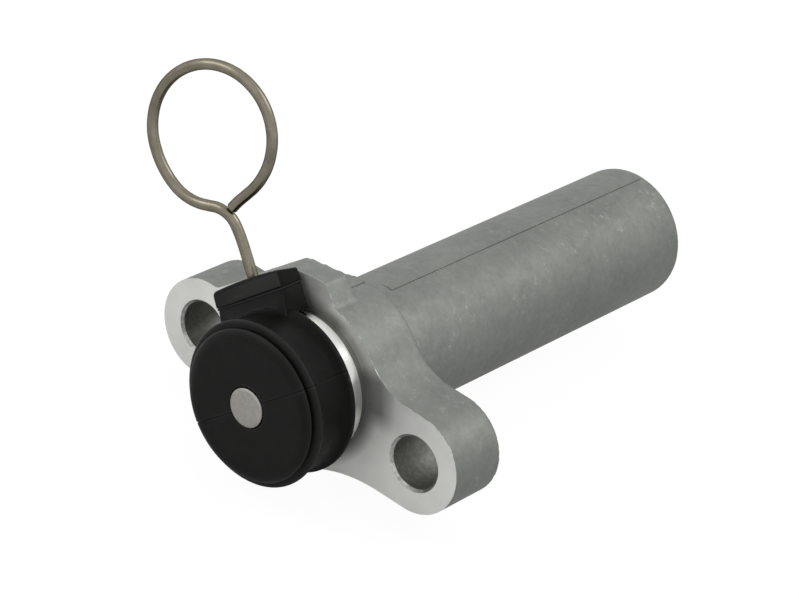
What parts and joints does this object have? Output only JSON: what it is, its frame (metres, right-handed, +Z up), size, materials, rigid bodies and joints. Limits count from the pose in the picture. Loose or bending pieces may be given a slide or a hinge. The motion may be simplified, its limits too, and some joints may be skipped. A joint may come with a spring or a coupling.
{
  "type": "hydraulic timing belt tensioner",
  "caption": "Hydraulic belt tensioner: closed barrel with a two-eared flange, rod in a rubber boot, held in by a ringed locking pin.",
  "frame": {"origin": "on the barrel's axis, in the machined front face of the flange", "axes": "+Y along the barrel to its closed end, so the rod comes out along -Y; +X to the right ear seen from the rod's side; +Z up, towards the side the locking pin leaves"},
  "size_m": [0.07, 0.1026, 0.0605],
  "materials": {
    "cast_aluminium": "die-cast, matte",
    "black_rubber": "matte",
    "pin_wire": "dull drawn wire",
    "ground_steel": "ground, satin",
    "pressed_steel": "satin",
    "spring_steel": "dark satin",
    "guide_plastic": "matte"
  },
  "bodies": {
    "housing": {"housing": "cast_aluminium", "boot": "black_rubber", "snap_ring": "spring_steel", "seal_washer": "pressed_steel", "seal_case": "pressed_steel", "oil_seal": "black_rubber", "sleeve": "pressed_steel", "sleeve_o_ring": "black_rubber", "sleeve_clip": "spring_steel", "spring_seat": "pressed_steel", "plunger_spring": "spring_steel"},
    "rod": {"push_rod": "ground_steel", "wear_ring": "guide_plastic", "front_rod_clip": "spring_steel", "rear_rod_clip": "spring_steel", "plunger": "ground_steel", "valve_seat": "pressed_steel", "ball_cage": "pressed_steel", "ball_spring": "spring_steel"},
    "pin": {"lock_pin": "pin_wire"},
    "ball": {"check_ball": "ground_steel"}
  },
  "joints": [
    {"name": "pin_pull", "type": "slide", "parent": "housing", "child": "pin", "axis": [-0.6691, 0, 0.7431], "range_m": [0, 0.07]},
    {"name": "rod_slide", "type": "slide", "parent": "housing", "child": "rod", "axis": [0, -1, 0], "range_m": [0, 0.0084], "deforming": ["boot", "plunger_spring"]},
    {"name": "ball_lift", "type": "slide", "parent": "rod", "child": "ball", "axis": [0, 1, 0], "range_m": [0, 0.0005], "stiffness_N_per_m": 20, "springref_m": -0.002, "deforming": ["ball_spring"]}
  ],
  "couplings": [
    {"joint": "rod_slide", "follows": "pin_pull", "ratio": 0.1199}
  ]
}
